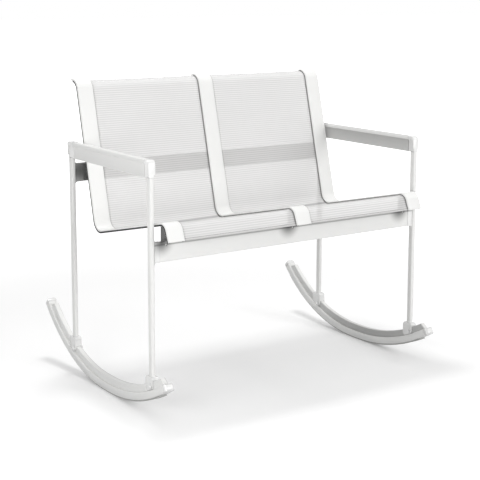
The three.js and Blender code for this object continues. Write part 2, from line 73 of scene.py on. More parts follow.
JOIN_GAP = 0.01 * MM  # points and lengths that differ by less are the same
FLAT_GAP = 0.02 * MM  # how far a flat face's points may lie off it
GROOVE_GAP = 0.1 * MM  # least thickness under a groove, and slack in finding its floor
SMOOTH_ANGLE = math.radians(34)  # edges that turn less than this are shaded round
RECESS = 7 * MM  # from the middle of a rocker or arm rail to its recessed faces
SLING_INSET = 3 * MM  # how far the cloth's edges go into the rails' grooves
DEPTH_SPAN, DEPTH_REACH = 5 * MM, 20 * MM  # where a rail's depth is measured
CLOTH_STEPS = 3  # pieces that each stretch of the seat line is cut into for the cloth
HEM_SLOPE = 1.2 * MM  # run over which the cloth thickens into a hem
STITCH_INSET = 1.5 * MM  # from a hem's inner edge to its first row of stitches
THREAD_RIPPLES = (0.5 * MM, 0.1)  # distance between them, and their strength
STITCH_SHARE = 0.975  # share of the cloth's width that the stitches cross
# Where the curls' sag takes over from the seat's, as shares of half the cloth's length
CURL_START, CURL_EASE = 0.62, 0.3

ROUGHNESS = {
    "nylon": 0.55, "bolt": 0.3, "bracket": 0.5, "bare": 0.6,
    "thread": 0.6, "cloth": 0.55, "floor": 0.95,
}


def box_middle(node):
    low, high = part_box(node)
    return (low + high) / 2


LEG_MIDDLE_Y = (box_middle("left_front_leg").y + box_middle("left_rear_leg").y) / 2


def length(name, value_mm, description, top_mm=500.0):
    return FloatProperty(
        name=name,
        description=description,
        default=value_mm * MM,
        min=0.0,
        max=top_mm * MM,
        unit="LENGTH",
        precision=5,
    )


def share(name, value, description, top=1.0):
    return FloatProperty(name=name, description=description, default=value, min=0.0, max=top)


def colour(name, value, description):
    return FloatVectorProperty(
        name=name, description=description, default=value, min=0.0, max=1.0, subtype="COLOR"
    )


def angle(name, degrees, description):
    return FloatProperty(
        name=name, description=description, default=math.radians(degrees), subtype="ANGLE"
    )


def watts(name, value, description):
    return FloatProperty(name=name, description=description, default=value, min=0)


class BenchPaintSettings(bpy.types.PropertyGroup):
    frame_colour: colour("Frame", (0.80, 0.80, 0.79), "Powder coat on the bars, rails and legs")
    cast_colour: colour("Castings", (0.79, 0.79, 0.785), "Powder coat on the cast fittings")
    nylon_colour: colour("Nylon", (0.42, 0.42, 0.41), "Glide strips and splines")
    # Bare metal in the grooves, darkened to near black as painted shade
    bare_colour: colour("Bare metal", (0.07, 0.07, 0.072), "Grooves that the powder doesn't reach")
    # The brackets' near-black colour is painted shade under the seat
    bracket_shade_colour: colour("Brackets", (0.1, 0.1, 0.1), "Coating of the brackets under the seat")
    bolt_colour: colour("Bolts", (0.72, 0.72, 0.72), "Plating of the bolts")
    paint_roughness: share("Paint roughness", 0.42, "Roughness of the powder coat")
    peel_size: length("Orange peel", 1.1, "Distance between the ripples of the powder coat")
    peel_height: share("Peel height", 0.035, "Strength of the ripples in the powder coat")
    cast_size: length("Cast grain", 2.2, "Distance between the ripples of the castings")
    cast_roughness: share("Cast roughness", 0.24, "Roughness of the castings' coat")
    cast_height: share("Cast height", 0.06, "Strength of the ripples in the castings")


class BenchRailSettings(bpy.types.PropertyGroup):
    shoulder: length("Shoulder", 3.0, "Radius of the long edges of a rail's upper face")
    edge: length("Edge", 0.5, "Radius of the long edges of a rail's lower face")
    end_run: length("End run", 0.8, "How far the rails run on past the slings at both ends")
    groove_height: length("Groove height", 4.1, "Height of the groove along each side of a rail")
    groove_depth: length("Groove depth", 7.0, "Depth of the groove along each side of a rail")
    smooth_steps: IntProperty(
        name="Smooth steps", description="Pieces each stretch of the seat line is cut into",
        default=4, min=1, max=12,
    )


class BenchSlingSettings(bpy.types.PropertyGroup):
    yarn_colour: colour("Yarn", (0.70, 0.695, 0.69), "Coated yarn of the slings")
    # The yarn shade is painted shade on the yarn that lies down between the rows
    shade_colour: colour("Yarn shade", (0.68, 0.675, 0.67), "Yarn down between the rows")
    row_pitch: length("Row pitch", 6.0, "Distance between the bold rows of the weave")
    yarn_pitch: length("Yarn pitch", 1.5, "Distance between the fine yarns of the weave")
    cover: share("Cover", 0.66, "Share of each face of the cloth that yarn covers")
    cover_swing: share("Cover swing", 0.075, "How much the cover changes from row to row")
    thickness: length("Thickness", 1.1, "Thickness of the cloth")
    hem_depth: length("Hem depth", 5.5, "Length of the doubled hem at each end")
    hem_rise: length("Hem rise", 0.8, "How much thicker the cloth is at a hem")
    seat_sag: length("Seat sag", 2.0, "Sag of the cloth in the middle of the seat")
    curl_sag: length("Curl sag", 1.2, "Sag of the cloth over the front and top curls")
    # The seam, fold and crease settings place the cloth's painted shade
    seam_width: length("Seam width", 7.0, "Width of the soiled edge along each rail")
    fold_width: length("Fold width", 1.1, "Half the width of the soiled line along each hem")
    crease_rise: length(
        "Crease rise", 10.0, "From the seat's lowest point back to the soiled bend's middle"
    )
    crease_width: length("Crease width", 8.0, "Half the width of the soil in the bend")
    row_step: length("Row step", 3.0, "Length of the cells of the cloth's mesh")
    columns: IntProperty(
        name="Columns", description="Cells of the cloth's mesh from side to side",
        default=28, min=4, max=80,
    )
    stitch_pitch: length("Stitch pitch", 3.2, "Distance from stitch to stitch")
    stitch_length: length("Stitch length", 2.3, "Length of one stitch")
    stitch_radius: length("Stitch radius", 0.28, "Half the thickness of the thread")
    stitch_gap: length("Stitch gap", 2.0, "Distance between the two rows of stitches")


class BenchStageSettings(bpy.types.PropertyGroup):
    lens: FloatProperty(
        name="Lens", description="Focal length in mm", default=86.734, min=10, max=300
    )
    azimuth: angle("Azimuth", -34.145, "Camera's turn to the bench's left")
    elevation: angle("Elevation", 8.6505, "Camera's angle above the horizon")
    roll: angle("Roll", 0.094, "Camera's turn about its own axis")
    distance: FloatProperty(
        name="Distance", description="From the camera to its aim", default=3.1867, unit="LENGTH"
    )
    aim: FloatVectorProperty(
        name="Aim", description="Point the camera looks at, from the floor between the legs",
        default=(-0.02091, 0.0, 0.5567), subtype="TRANSLATION",
    )
    axis_rise: share(
        "Axis rise", 70 / 480, "How far above the picture's middle the camera's axis meets it"
    )
    floor_colour: colour("Floor", (0.88, 0.88, 0.88), "Floor as the camera sees it")
    floor_bounce: colour("Floor bounce", (0.55, 0.55, 0.55), "Floor as the bench sees it")
    sky: share("Sky", 0.62, "Strength of the even light from overhead", 4.0)
    horizon: share("Horizon", 0.5, "Strength of the even light from the side", 4.0)
    key_power: watts("Key", 26, "Power of the overhead lamp, W")
    front_power: watts("Front", 82, "Power of the front lamp, W")
    left_power: watts("Left", 6.2, "Power of the left lamp, W")
    right_power: watts("Right", 7.5, "Power of the right lamp, W")


# ---- meshes ----


def new_piece(name, mesh, material):
    piece = bpy.data.objects.new(name, mesh)
    bpy.context.scene.collection.objects.link(piece)
    if material is not None:
        mesh.materials.clear()
        mesh.materials.append(material)
    return piece


def merged_copy(node):
    """A bmesh of a CAD node with its loose triangles joined."""
    solid = bmesh.new()
    solid.from_mesh(nodes[node].data)
    bmesh.ops.remove_doubles(solid, verts=solid.verts, dist=JOIN_GAP)
    return solid


def side_outline(node):
    """The outline of a node's flat left side, as (y, z) points in order."""
    solid = merged_copy(node)
    left = min(v.co.x for v in solid.verts)
    on_side = [f for f in solid.faces if all(abs(v.co.x - left) < FLAT_GAP for v in f.verts)]
    inside = set(on_side)
    border = [e for f in on_side for e in f.edges if sum(g in inside for g in e.link_faces) == 1]
    neighbours = {}
    for edge in border:
        a, b = edge.verts
        neighbours.setdefault(a, []).append(b)
        neighbours.setdefault(b, []).append(a)
    start = border[0].verts[0]
    loop, before, here = [start], None, start
    while True:
        onward = [v for v in neighbours[here] if v is not before]
        before, here = here, onward[0]
        if here is start:
            break
        loop.append(here)
    points = [Vector((v.co.y, v.co.z)) for v in loop]
    solid.free()
    return points


def middle_line(node):
    """The line halfway through a bent strip, front end first."""
    loop = side_outline(node)
    count = len(loop)
    spans = [(loop[(i + 1) % count] - loop[i]).length for i in range(count)]
    sides = sorted(range(count), key=lambda i: spans[i])
    # The strip's two ends are the two opposite sides that are as long as it is thick
    ends = next(
        (i, j) for i in sides for j in sides
        if i < j and abs((j - i) - count / 2) < 1 and abs(spans[i] - spans[j]) < JOIN_GAP
    )
    half = count // 2
    first = [loop[(ends[0] + 1 + k) % count] for k in range(half)]
    second = [loop[(ends[0] - k) % count] for k in range(half)]
    line = [(a + b) / 2 for a, b in zip(first, second)]
    if line[0].x > line[-1].x:
        line.reverse()
    return line


def smooth_line(points, steps):
    """The same line with more points, round where it turns and straight where it runs on."""
    tangents = []
    for i in range(len(points)):
        before = points[max(i - 1, 0)]
        after = points[min(i + 1, len(points) - 1)]
        tangents.append((after - before).normalized())
    line = []
    for i in range(len(points) - 1):
        a, b = points[i], points[i + 1]
        span = (b - a).length
        for k in range(steps):
            t = k / steps
            line.append(
                a * (2 * t**3 - 3 * t**2 + 1)
                + tangents[i] * (span * (t**3 - 2 * t**2 + t))
                + b * (3 * t**2 - 2 * t**3)
                + tangents[i + 1] * (span * (t**3 - t**2))
            )
    return line + [points[-1]]


def spread_out(points, step):
    """The line with its long straight stretches cut to pieces of a length."""
    line = [points[0]]
    for a, b in zip(points, points[1:]):
        cuts = max(1, round((b - a).length / step))
        line += [a.lerp(b, (k + 1) / cuts) for k in range(cuts)]
    return line


def polyline_object(name, points, closed=False):
    mesh = bpy.data.meshes.new(name)
    edges = [(i, i + 1) for i in range(len(points) - 1)]
    if closed:
        edges.append((len(points) - 1, 0))
    mesh.from_pydata([tuple(p) for p in points], edges, [])
    return new_piece(name, mesh, None)


# ---- node trees ----


def new_tree(kind, name, inputs, outputs):
    """A node tree with its sockets, each name with the last word of its socket type."""
    tree = bpy.data.node_groups.new(name, kind)
    for in_out, sockets in (("INPUT", inputs), ("OUTPUT", outputs)):
        for label, ending in sockets.items():
            tree.interface.new_socket(label, in_out=in_out, socket_type=f"NodeSocket{ending}")
    return tree, tree.nodes.new("NodeGroupInput"), tree.nodes.new("NodeGroupOutput")


def feed(tree, value, socket):
    """Links an output to a socket, or sets the socket to a plain value."""
    if isinstance(value, bpy.types.NodeSocket):
        tree.links.new(value, socket)
    else:
        socket.default_value = value


def calculate(tree, operation, first, second=None, clamp=False):
    """A Math node on outputs or numbers; returns its output."""
    node = tree.nodes.new("ShaderNodeMath")
    node.operation = operation
    node.use_clamp = clamp
    feed(tree, first, node.inputs[0])
    if second is not None:
        feed(tree, second, node.inputs[1])
    return node.outputs[0]


def finish_tree(tree, given, out, geometry):
    """Ends a tree: real geometry, smooth but for its sharp edges, with its material."""
    node, link = tree.nodes.new, tree.links.new
    real = node("GeometryNodeRealizeInstances")
    smooth = node("GeometryNodeSetShadeSmooth")
    smooth.domain = "FACE"
    turn = node("GeometryNodeInputMeshEdgeAngle")
    sharp = node("FunctionNodeCompare")
    sharp.operation = "GREATER_THAN"
    sharp.inputs["B"].default_value = SMOOTH_ANGLE
    crease = node("GeometryNodeSetShadeSmooth")
    crease.domain = "EDGE"
    crease.inputs["Shade Smooth"].default_value = False
    paint = node("GeometryNodeSetMaterial")
    link(geometry, real.inputs["Geometry"])
    link(real.outputs["Geometry"], smooth.inputs["Geometry"])
    link(smooth.outputs["Geometry"], crease.inputs["Geometry"])
    link(turn.outputs["Unsigned Angle"], sharp.inputs["A"])
    link(sharp.outputs["Result"], crease.inputs["Selection"])
    link(crease.outputs["Geometry"], paint.inputs["Geometry"])
    link(given.outputs["Material"], paint.inputs["Material"])
    link(paint.outputs["Geometry"], out.inputs["Geometry"])


def section_tree():
    """Sweeps a closed section along the object's own line."""
    tree, given, out = new_tree(
        "GeometryNodeTree", "section_along_line",
        {"Geometry": "Geometry", "Section": "Object", "Material": "Material"},
        {"Geometry": "Geometry"},
    )
    node, link = tree.nodes.new, tree.links.new
    line = node("GeometryNodeMeshToCurve")
    upright = node("GeometryNodeSetCurveNormal")
    upright.mode = "Z_UP"
    shape = node("GeometryNodeObjectInfo")
    section = node("GeometryNodeMeshToCurve")
    sweep = node("GeometryNodeCurveToMesh")
    sweep.inputs["Fill Caps"].default_value = True
    link(given.outputs["Geometry"], line.inputs[0])
    link(line.outputs[0], upright.inputs["Curve"])
    link(given.outputs["Section"], shape.inputs["Object"])
    link(shape.outputs["Geometry"], section.inputs[0])
    link(upright.outputs["Curve"], sweep.inputs["Curve"])
    link(section.outputs[0], sweep.inputs["Profile Curve"])
    finish_tree(tree, given, out, sweep.outputs["Mesh"])
    return tree


def stitch_tree():
    """Sets small rounded stitches along the object's own lines."""
    tree, given, out = new_tree(
        "GeometryNodeTree", "stitches_along_line",
        {
            "Geometry": "Geometry", "Pitch": "Float", "Length": "Float", "Radius": "Float",
            "Material": "Material",
        },
        {"Geometry": "Geometry"},
    )
    node, link = tree.nodes.new, tree.links.new
    line = node("GeometryNodeMeshToCurve")
    spaced = node("GeometryNodeResampleCurve")
    spaced.mode = "LENGTH"
    spots = node("GeometryNodeCurveToPoints")
    spots.mode = "EVALUATED"
    bead = node("GeometryNodeMeshUVSphere")
    bead.inputs["Segments"].default_value = 6
    bead.inputs["Rings"].default_value = 4
    bead.inputs["Radius"].default_value = 1.0
    size = node("ShaderNodeCombineXYZ")
    place = node("GeometryNodeInstanceOnPoints")
    link(given.outputs["Geometry"], line.inputs[0])
    link(line.outputs[0], spaced.inputs["Curve"])
    link(given.outputs["Pitch"], spaced.inputs["Length"])
    link(spaced.outputs["Curve"], spots.inputs["Curve"])
    link(spots.outputs["Points"], place.inputs["Points"])
    link(bead.outputs["Mesh"], place.inputs["Instance"])
    link(spots.outputs["Rotation"], place.inputs["Rotation"])
    link(given.outputs["Radius"], size.inputs["X"])
    link(given.outputs["Radius"], size.inputs["Y"])
    link(calculate(tree, "MULTIPLY", given.outputs["Length"], 0.5), size.inputs["Z"])
    link(size.outputs[0], place.inputs["Scale"])
    finish_tree(tree, given, out, place.outputs["Instances"])
    return tree


def grown_by(tree, source, name, values):
    """The plain mesh that a tree makes of a source object, as a new piece."""
    modifier = source.modifiers.new("grow", "NODES")
    modifier.node_group = tree
    for label, value in values.items():
        modifier[tree.interface.items_tree[label].identifier] = value
    graph = bpy.context.evaluated_depsgraph_get()
    mesh = bpy.data.meshes.new_from_object(source.evaluated_get(graph), depsgraph=graph)
    source.modifiers.remove(modifier)
    bpy.data.objects.remove(source)
    mesh.name = name
    return new_piece(name, mesh, values["Material"])


# ---- materials ----


def vector_calculate(tree, operation, first, second=None):
    """A Vector Math node on outputs or vectors; returns its output."""
    node = tree.nodes.new("ShaderNodeVectorMath")
    node.operation = operation
    feed(tree, first, node.inputs[0])
    if second is not None:
        feed(tree, second, node.inputs[1])
    return node.outputs["Value" if operation == "LENGTH" else "Vector"]


def swing(tree, pattern, amount):
    """A pattern from 0 to 1 as a swing either way, of an amount in all."""
    return calculate(tree, "MULTIPLY", calculate(tree, "SUBTRACT", pattern, 0.5), amount)


def ramp(tree, value, start, end, low, high, smooth=True):
    """A Map Range node: low where the value is at the start, high where it is at the end."""
    node = tree.nodes.new("ShaderNodeMapRange")
    node.interpolation_type = "SMOOTHSTEP" if smooth else "LINEAR"
    feed(tree, value, node.inputs["Value"])
    feed(tree, start, node.inputs["From Min"])
    feed(tree, end, node.inputs["From Max"])
    feed(tree, low, node.inputs["To Min"])
    feed(tree, high, node.inputs["To Max"])
    return node.outputs["Result"]


def noise(tree, vector, scale, detail):
    node = tree.nodes.new("ShaderNodeTexNoise")
    node.inputs["Detail"].default_value = detail
    tree.links.new(vector, node.inputs["Vector"])
    feed(tree, scale, node.inputs["Scale"])
    return node.outputs["Fac"]


# The Mix node's sockets for colours, whose names its sockets for numbers have too
MIX_FIRST, MIX_SECOND, MIX_RESULT = 6, 7, 2


def blend(tree, factor, first, second, way="MIX"):
    """A colour mix; each colour is an output or a value."""
    node = tree.nodes.new("ShaderNodeMix")
    node.data_type = "RGBA"
    node.blend_type = way
    tree.links.new(factor, node.inputs["Factor"])
    feed(tree, first, node.inputs[MIX_FIRST])
    feed(tree, second, node.inputs[MIX_SECOND])
    return node.outputs[MIX_RESULT]


def bump(tree, height, strength, distance):
    node = tree.nodes.new("ShaderNodeBump")
    node.inputs["Distance"].default_value = distance
    tree.links.new(height, node.inputs["Height"])
    feed(tree, strength, node.inputs["Strength"])
    return node.outputs["Normal"]


# The coats' faint clouds and specks: how many to a metre, how far they swing the gloss
CLOUD_SCALE, CLOUD_GLOSS = 9.0, 0.12
SPECK_SCALE, SPECK_GLOSS = 420.0, 0.05
CLOUD_TINT = (0.965, 0.965, 0.96, 1)
RIPPLE_DEPTH = 0.2 * MM


def coated_surface_group():
    """Powder coat or moulding: fine ripples, faint clouds in colour and gloss."""
    tree, given, out = new_tree(
        "ShaderNodeTree", "coated_surface",
        {
            "Vector": "Vector", "Colour": "Color", "Ripple size": "Float",
            "Ripple strength": "Float", "Roughness": "Float",
        },
        {"Colour": "Color", "Roughness": "Float", "Normal": "Vector"},
    )
    where = given.outputs["Vector"]
    clouds = noise(tree, where, CLOUD_SCALE, detail=3.0)
    ripple_scale = calculate(tree, "DIVIDE", 1.0, given.outputs["Ripple size"])
    ripples = noise(tree, where, ripple_scale, detail=1.0)
    specks = noise(tree, where, SPECK_SCALE, detail=1.0)
    clouded = blend(tree, clouds, given.outputs["Colour"], CLOUD_TINT, "MULTIPLY")
    tree.links.new(clouded, out.inputs["Colour"])
    cloud_rough = calculate(
        tree, "ADD", given.outputs["Roughness"], swing(tree, clouds, CLOUD_GLOSS)
    )
    rough = calculate(tree, "ADD", cloud_rough, swing(tree, specks, SPECK_GLOSS), clamp=True)
    tree.links.new(rough, out.inputs["Roughness"])
    normal = bump(tree, ripples, given.outputs["Ripple strength"], RIPPLE_DEPTH)
    tree.links.new(normal, out.inputs["Normal"])
    return tree


# Colour that painted shade darkens towards
PAINTED_SHADE_TINT = (0.1, 0.1, 0.1, 1)


def painted_shade_spots(tree, where, base, spots, reach, amount):
    """Painted shade: darkens a colour round spots in object coordinates; returns the colour."""
    nearest = None
    for spot in spots:
        away = vector_calculate(tree, "SUBTRACT", where, spot)
        in_reaches = vector_calculate(tree, "DIVIDE", away, reach)
        distance = vector_calculate(tree, "LENGTH", in_reaches)
        nearest = distance if nearest is None else calculate(tree, "MINIMUM", nearest, distance)
    painted_shade = ramp(tree, nearest, 1.0, 0.0, 0.0, amount)
    return blend(tree, painted_shade, base, PAINTED_SHADE_TINT, "MULTIPLY")


def painted_shade_material(name, clean, layers):
    """A copy of a coated material with layers of painted shade, each (spots, reach, amount)."""
    material = clean.copy()
    material.name = name
    tree = material.node_tree
    where = next(n for n in tree.nodes if n.bl_idname == "ShaderNodeTexCoord")
    group = next(n for n in tree.nodes if n.bl_idname == "ShaderNodeGroup")
    shader = tree.nodes["Principled BSDF"]
    colour_out = group.outputs["Colour"]
    for spots, reach, amount in layers:
        colour_out = painted_shade_spots(tree, where.outputs["Object"], colour_out, spots, reach, amount)
    tree.links.new(colour_out, shader.inputs["Base Color"])
    return material


# The cloth's relief, made of its yarns and its rows, and how deep and strong it is
WEAVE_RELIEF, ROW_RELIEF = 0.2, 0.3
RELIEF_DEPTH, RELIEF_STRENGTH = 0.4 * MM, 0.35
# Slack patches in the weave: how many to a metre, how far they swing the cover
SLACK_SCALE, SLACK_SWING = 14.0, 0.03
# Painted shade along the rails, in the fold of each hem and in the bend between seat and back
SEAM_SHADE, FOLD_SHADE, CREASE_SHADE = 0.5, 0.7, 0.9
CLOTH_SHADE_TINT = (0.5, 0.5, 0.5, 1)


def woven_group():
    """Open weave on a map in metres: bold rows across, finer yarns both ways, painted shade."""
    tree, given, out = new_tree(
        "ShaderNodeTree", "open_weave",
        {
            "Map": "Vector", "Yarn": "Color", "Shade": "Color",
            "Row pitch": "Float", "Yarn pitch": "Float", "Cover": "Float",
            "Cover swing": "Float", "Half width": "Float", "Seam width": "Float",
            "Length": "Float", "Hem": "Float", "Fold width": "Float",
            "Crease place": "Float", "Crease width": "Float",
        },
        {"Colour": "Color", "Cover": "Float", "Height": "Float"},
    )
    given = given.outputs
    split = tree.nodes.new("ShaderNodeSeparateXYZ")
    tree.links.new(given["Map"], split.inputs[0])
    across, along = split.outputs["X"], split.outputs["Y"]

    def wave(place, pitch):
        turns = calculate(tree, "DIVIDE", place, pitch)
        return calculate(tree, "SINE", calculate(tree, "MULTIPLY", turns, 2 * math.pi))

    def shaded_line(place, middle, half_width, strength):
        """Even for half of its half width, then fading to nothing at its edge."""
        away = calculate(tree, "ABSOLUTE", calculate(tree, "SUBTRACT", place, middle))
        fall = calculate(tree, "MULTIPLY", calculate(tree, "DIVIDE", away, half_width), 2.0)
        near = calculate(tree, "SUBTRACT", 2.0, fall, clamp=True)
        return calculate(tree, "MULTIPLY", near, strength)

    rows = wave(along, given["Row pitch"])
    # Over and under: where one set of yarns rises the other dips
    weave = calculate(
        tree, "MULTIPLY", wave(across, given["Yarn pitch"]), wave(along, given["Yarn pitch"])
    )
    weave_height = calculate(tree, "MULTIPLY", weave, WEAVE_RELIEF)
    row_height = calculate(tree, "MULTIPLY", rows, ROW_RELIEF)
    height = calculate(tree, "ADD", weave_height, row_height)
    slack = swing(tree, noise(tree, given["Map"], SLACK_SCALE, detail=2.0), SLACK_SWING)
    row_cover = calculate(tree, "MULTIPLY", rows, given["Cover swing"])
    even_cover = calculate(tree, "ADD", given["Cover"], row_cover)
    cover = calculate(tree, "ADD", even_cover, slack, clamp=True)
    # The yarn down between the rows gets the darker yarn shade, as painted shade
    raised = calculate(tree, "ADD", calculate(tree, "MULTIPLY", rows, 0.5), 0.5, clamp=True)
    woven = blend(tree, raised, given["Shade"], given["Yarn"])
    # Painted shade along the edges, where the cloth goes into the rails
    inset = calculate(tree, "SUBTRACT", given["Half width"], calculate(tree, "ABSOLUTE", across))
    clean = calculate(tree, "DIVIDE", inset, given["Seam width"], clamp=True)
    seam = calculate(tree, "MULTIPLY", calculate(tree, "SUBTRACT", 1.0, clean), SEAM_SHADE)
    # Painted shade in the fold of each hem and in the bend between seat and back
    from_far_end = calculate(tree, "SUBTRACT", given["Length"], along)
    from_end = calculate(tree, "MINIMUM", along, from_far_end)
    fold = shaded_line(from_end, given["Hem"], given["Fold width"], FOLD_SHADE)
    crease = shaded_line(along, given["Crease place"], given["Crease width"], CREASE_SHADE)
    painted_shade = calculate(tree, "ADD", calculate(tree, "ADD", seam, fold), crease, clamp=True)
    shaded_cloth = blend(tree, painted_shade, woven, CLOTH_SHADE_TINT, "MULTIPLY")
    tree.links.new(shaded_cloth, out.inputs["Colour"])
    tree.links.new(cover, out.inputs["Cover"])
    tree.links.new(height, out.inputs["Height"])
    return tree


def surface_groups():
    """The coat's and the cloth's groups, made once."""
    if "coated_surface" not in bpy.data.node_groups:
        coated_surface_group()
        woven_group()
    return bpy.data.node_groups["coated_surface"], bpy.data.node_groups["open_weave"]


def group_node(tree, group, values):
    """A node that runs a shader group, with some of its inputs set."""
    node = tree.nodes.new("ShaderNodeGroup")
    node.node_tree = group
    for label, value in values.items():
        node.inputs[label].default_value = value
    return node


def new_material(name):
    material = bpy.data.materials.new(name)
    material.use_nodes = True
    return material, material.node_tree, material.node_tree.nodes["Principled BSDF"]


def coated_material(name, base, roughness, ripple_size, ripple_strength, metallic=0.0, coat=0.0):
    material, tree, shader = new_material(name)
    group = group_node(tree, surface_groups()[0], {
        "Colour": (*base, 1),
        "Ripple size": ripple_size,
        "Ripple strength": ripple_strength,
        "Roughness": roughness,
    })
    where = tree.nodes.new("ShaderNodeTexCoord")
    tree.links.new(where.outputs["Object"], group.inputs["Vector"])
    tree.links.new(group.outputs["Colour"], shader.inputs["Base Color"])
    tree.links.new(group.outputs["Roughness"], shader.inputs["Roughness"])
    tree.links.new(group.outputs["Normal"], shader.inputs["Normal"])
    shader.inputs["Metallic"].default_value = metallic
    shader.inputs["Coat Weight"].default_value = coat
    return material


def sling_material(settings, width, total, bend):
    """The cloth's material, for a sling of a size with its bend at a run from the front."""
    material, tree, shader = new_material("woven_mesh_white")
    group = group_node(tree, surface_groups()[1], {
        "Yarn": (*settings.yarn_colour, 1),
        "Shade": (*settings.shade_colour, 1),
        "Row pitch": settings.row_pitch,
        "Yarn pitch": settings.yarn_pitch,
        "Cover": settings.cover,
        "Cover swing": settings.cover_swing,
        "Half width": width / 2 - SLING_INSET,
        "Seam width": settings.seam_width,
        "Length": total,
        "Hem": settings.hem_depth,
        "Fold width": settings.fold_width,
        "Crease place": bend + settings.crease_rise,
        "Crease width": settings.crease_width,
    })
    uv = tree.nodes.new("ShaderNodeUVMap")
    uv.uv_map = "cloth"
    tree.links.new(uv.outputs["UV"], group.inputs["Map"])
    tree.links.new(group.outputs["Colour"], shader.inputs["Base Color"])
    tree.links.new(group.outputs["Cover"], shader.inputs["Alpha"])
    normal = bump(tree, group.outputs["Height"], RELIEF_STRENGTH, RELIEF_DEPTH)
    tree.links.new(normal, shader.inputs["Normal"])
    shader.inputs["Roughness"].default_value = ROUGHNESS["cloth"]
    shader.inputs["Sheen Weight"].default_value = 0.1
    return material


# ---- paint ----

# CAD nodes with round faces: each is shown by a copy with smooth shading
ROUND_NODES = [
    f"{side}_{part}"
    for side in SIDES
    for part in (
        "front_leg", "rear_leg", "arm_rail", "front_corner", "rear_corner", "rocker",
        "rocker_front_cap", "rocker_rear_cap", "front_foot", "rear_foot",
    )
]
# Painted shade on each crossbar's front round its brackets: how far to the side of the brackets
# and below the bar's top it lies, how far it reaches and how dark it is
BAR_SHADE = {
    "front": (-14 * MM, 0.0, (42 * MM, 9 * MM, 45 * MM), 0.95),
    "rear": (0.0, 20 * MM, (400 * MM, 9 * MM, 70 * MM), 0.9),
}
# Painted shadow of the slings' hems on the front crossbar: how far below its top, reach and
# darkness
HEM_SHADOW = (7 * MM, (4.0, 9 * MM, 4 * MM), 0.62)
# Painted shade on the recessed inner faces: its middle from front to back, its reach and darkness
RECESS_SHADE = {
    "rocker": (-100 * MM, (5 * MM, 0.6, 4.0), 0.5),
    "arm_rail": (0.0, (3.5 * MM, 4.0, 4.0), 0.4),
}


def smooth_copy(node, material):
    """Shows a CAD node by a copy with its triangles joined and its round faces smooth."""
    solid = merged_copy(node)
    for face in solid.faces:
        face.smooth = True
    for edge in solid.edges:
        edge.smooth = edge.is_manifold and edge.calc_face_angle() < SMOOTH_ANGLE
    mesh = bpy.data.meshes.new(f"{node}_finish")
    solid.to_mesh(mesh)
    solid.free()
    piece = new_piece(f"{node}_finish", mesh, material)
    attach(piece, BODY)
    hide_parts(node)


class BENCH_OT_paint(bpy.types.Operator):
    """Gives every CAD node its finish, paints shade on bars, brackets and recesses, and smooths
    the round ones
    """

    bl_idname = "bench.paint"
    bl_label = "Paint frame"

    def execute(self, context):
        paint = context.scene.bench_paint
        peel = (paint.peel_size, paint.peel_height)
        cast = (paint.cast_size, paint.cast_height)
        frame_coat = coated_material(
            "white_powder_coat", paint.frame_colour, paint.paint_roughness, *peel
        )
        cast_coat = coated_material(
            "white_cast_coat", paint.cast_colour, paint.cast_roughness, *cast, coat=0.5
        )
        materials = {
            "white_frame": frame_coat,
            "cast_fittings": cast_coat,
            "nylon": coated_material("grey_nylon", paint.nylon_colour, ROUGHNESS["nylon"], *peel),
            "plated_bolts": coated_material(
                "plated_steel", paint.bolt_colour, ROUGHNESS["bolt"], *peel, metallic=0.9
            ),
        }
        slots = {s["node"]: s["material_slot"] for s in frame["record"]["subparts"]}
        for name, node in nodes.items():
            if slots[name] in materials:
                node.data.materials.clear()
                node.data.materials.append(materials[slots[name]])
        # The brackets get near-black painted shade
        bracket_shade_coat = coated_material(
            "dark_cast_coat", paint.bracket_shade_colour, ROUGHNESS["bracket"], *cast
        )
        for rail in RAILS:
            for end in BAR_SHADE:
                nodes[f"{rail}_{end}_bracket"].data.materials[0] = bracket_shade_coat
        self.shade_bars(frame_coat, cast_coat)
        self.shade_recesses(frame_coat)
        for name in ROUND_NODES:
            smooth_copy(name, nodes[name].data.materials[0])
        return {"FINISHED"}

    def shade_bars(self, bar_coat, end_coat):
        """Paints shade on the crossbars and their end castings round the brackets."""
        for end, (shift, drop, reach, amount) in BAR_SHADE.items():
            low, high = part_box(f"{end}_crossbar")
            spots = [
                (box_middle(f"{rail}_{end}_bracket").x + shift, low.y, high.z - drop)
                for rail in RAILS
            ]
            layers = [(spots, reach, amount)]
            if end == "front":
                shadow_drop, shadow_reach, shadow_amount = HEM_SHADOW
                layers.append(([(0, low.y, high.z - shadow_drop)], shadow_reach, shadow_amount))
            for part, clean in (("crossbar", bar_coat), ("bar_end", end_coat)):
                shaded = painted_shade_material(f"{end}_{part}_coat", clean, layers)
                for name in nodes:
                    if name.startswith(end) and name.endswith(part):
                        nodes[name].data.materials[0] = shaded

    def shade_recesses(self, clean):
        """Paints shade on the recessed inner faces of the rockers and arm rails."""
        for part, (place, reach, amount) in RECESS_SHADE.items():
            names = [f"{side}_{part}" for side in SIDES]
            middles = [box_middle(name).x for name in names]
            spots = [(x - math.copysign(RECESS, x), place, 0) for x in middles]
            shaded = painted_shade_material(f"{part}_coat", clean, [(spots, reach, amount)])
            for name in names:
                nodes[name].data.materials[0] = shaded


# ---- rails ----


def corner(x, y, radius, start, steps=5):
    """A quarter turn of points round a centre, from an angle on."""
    turns = [math.radians(start + 90 * k / steps) for k in range(steps + 1)]
    return [(x + radius * math.cos(t), y + radius * math.sin(t)) for t in turns]


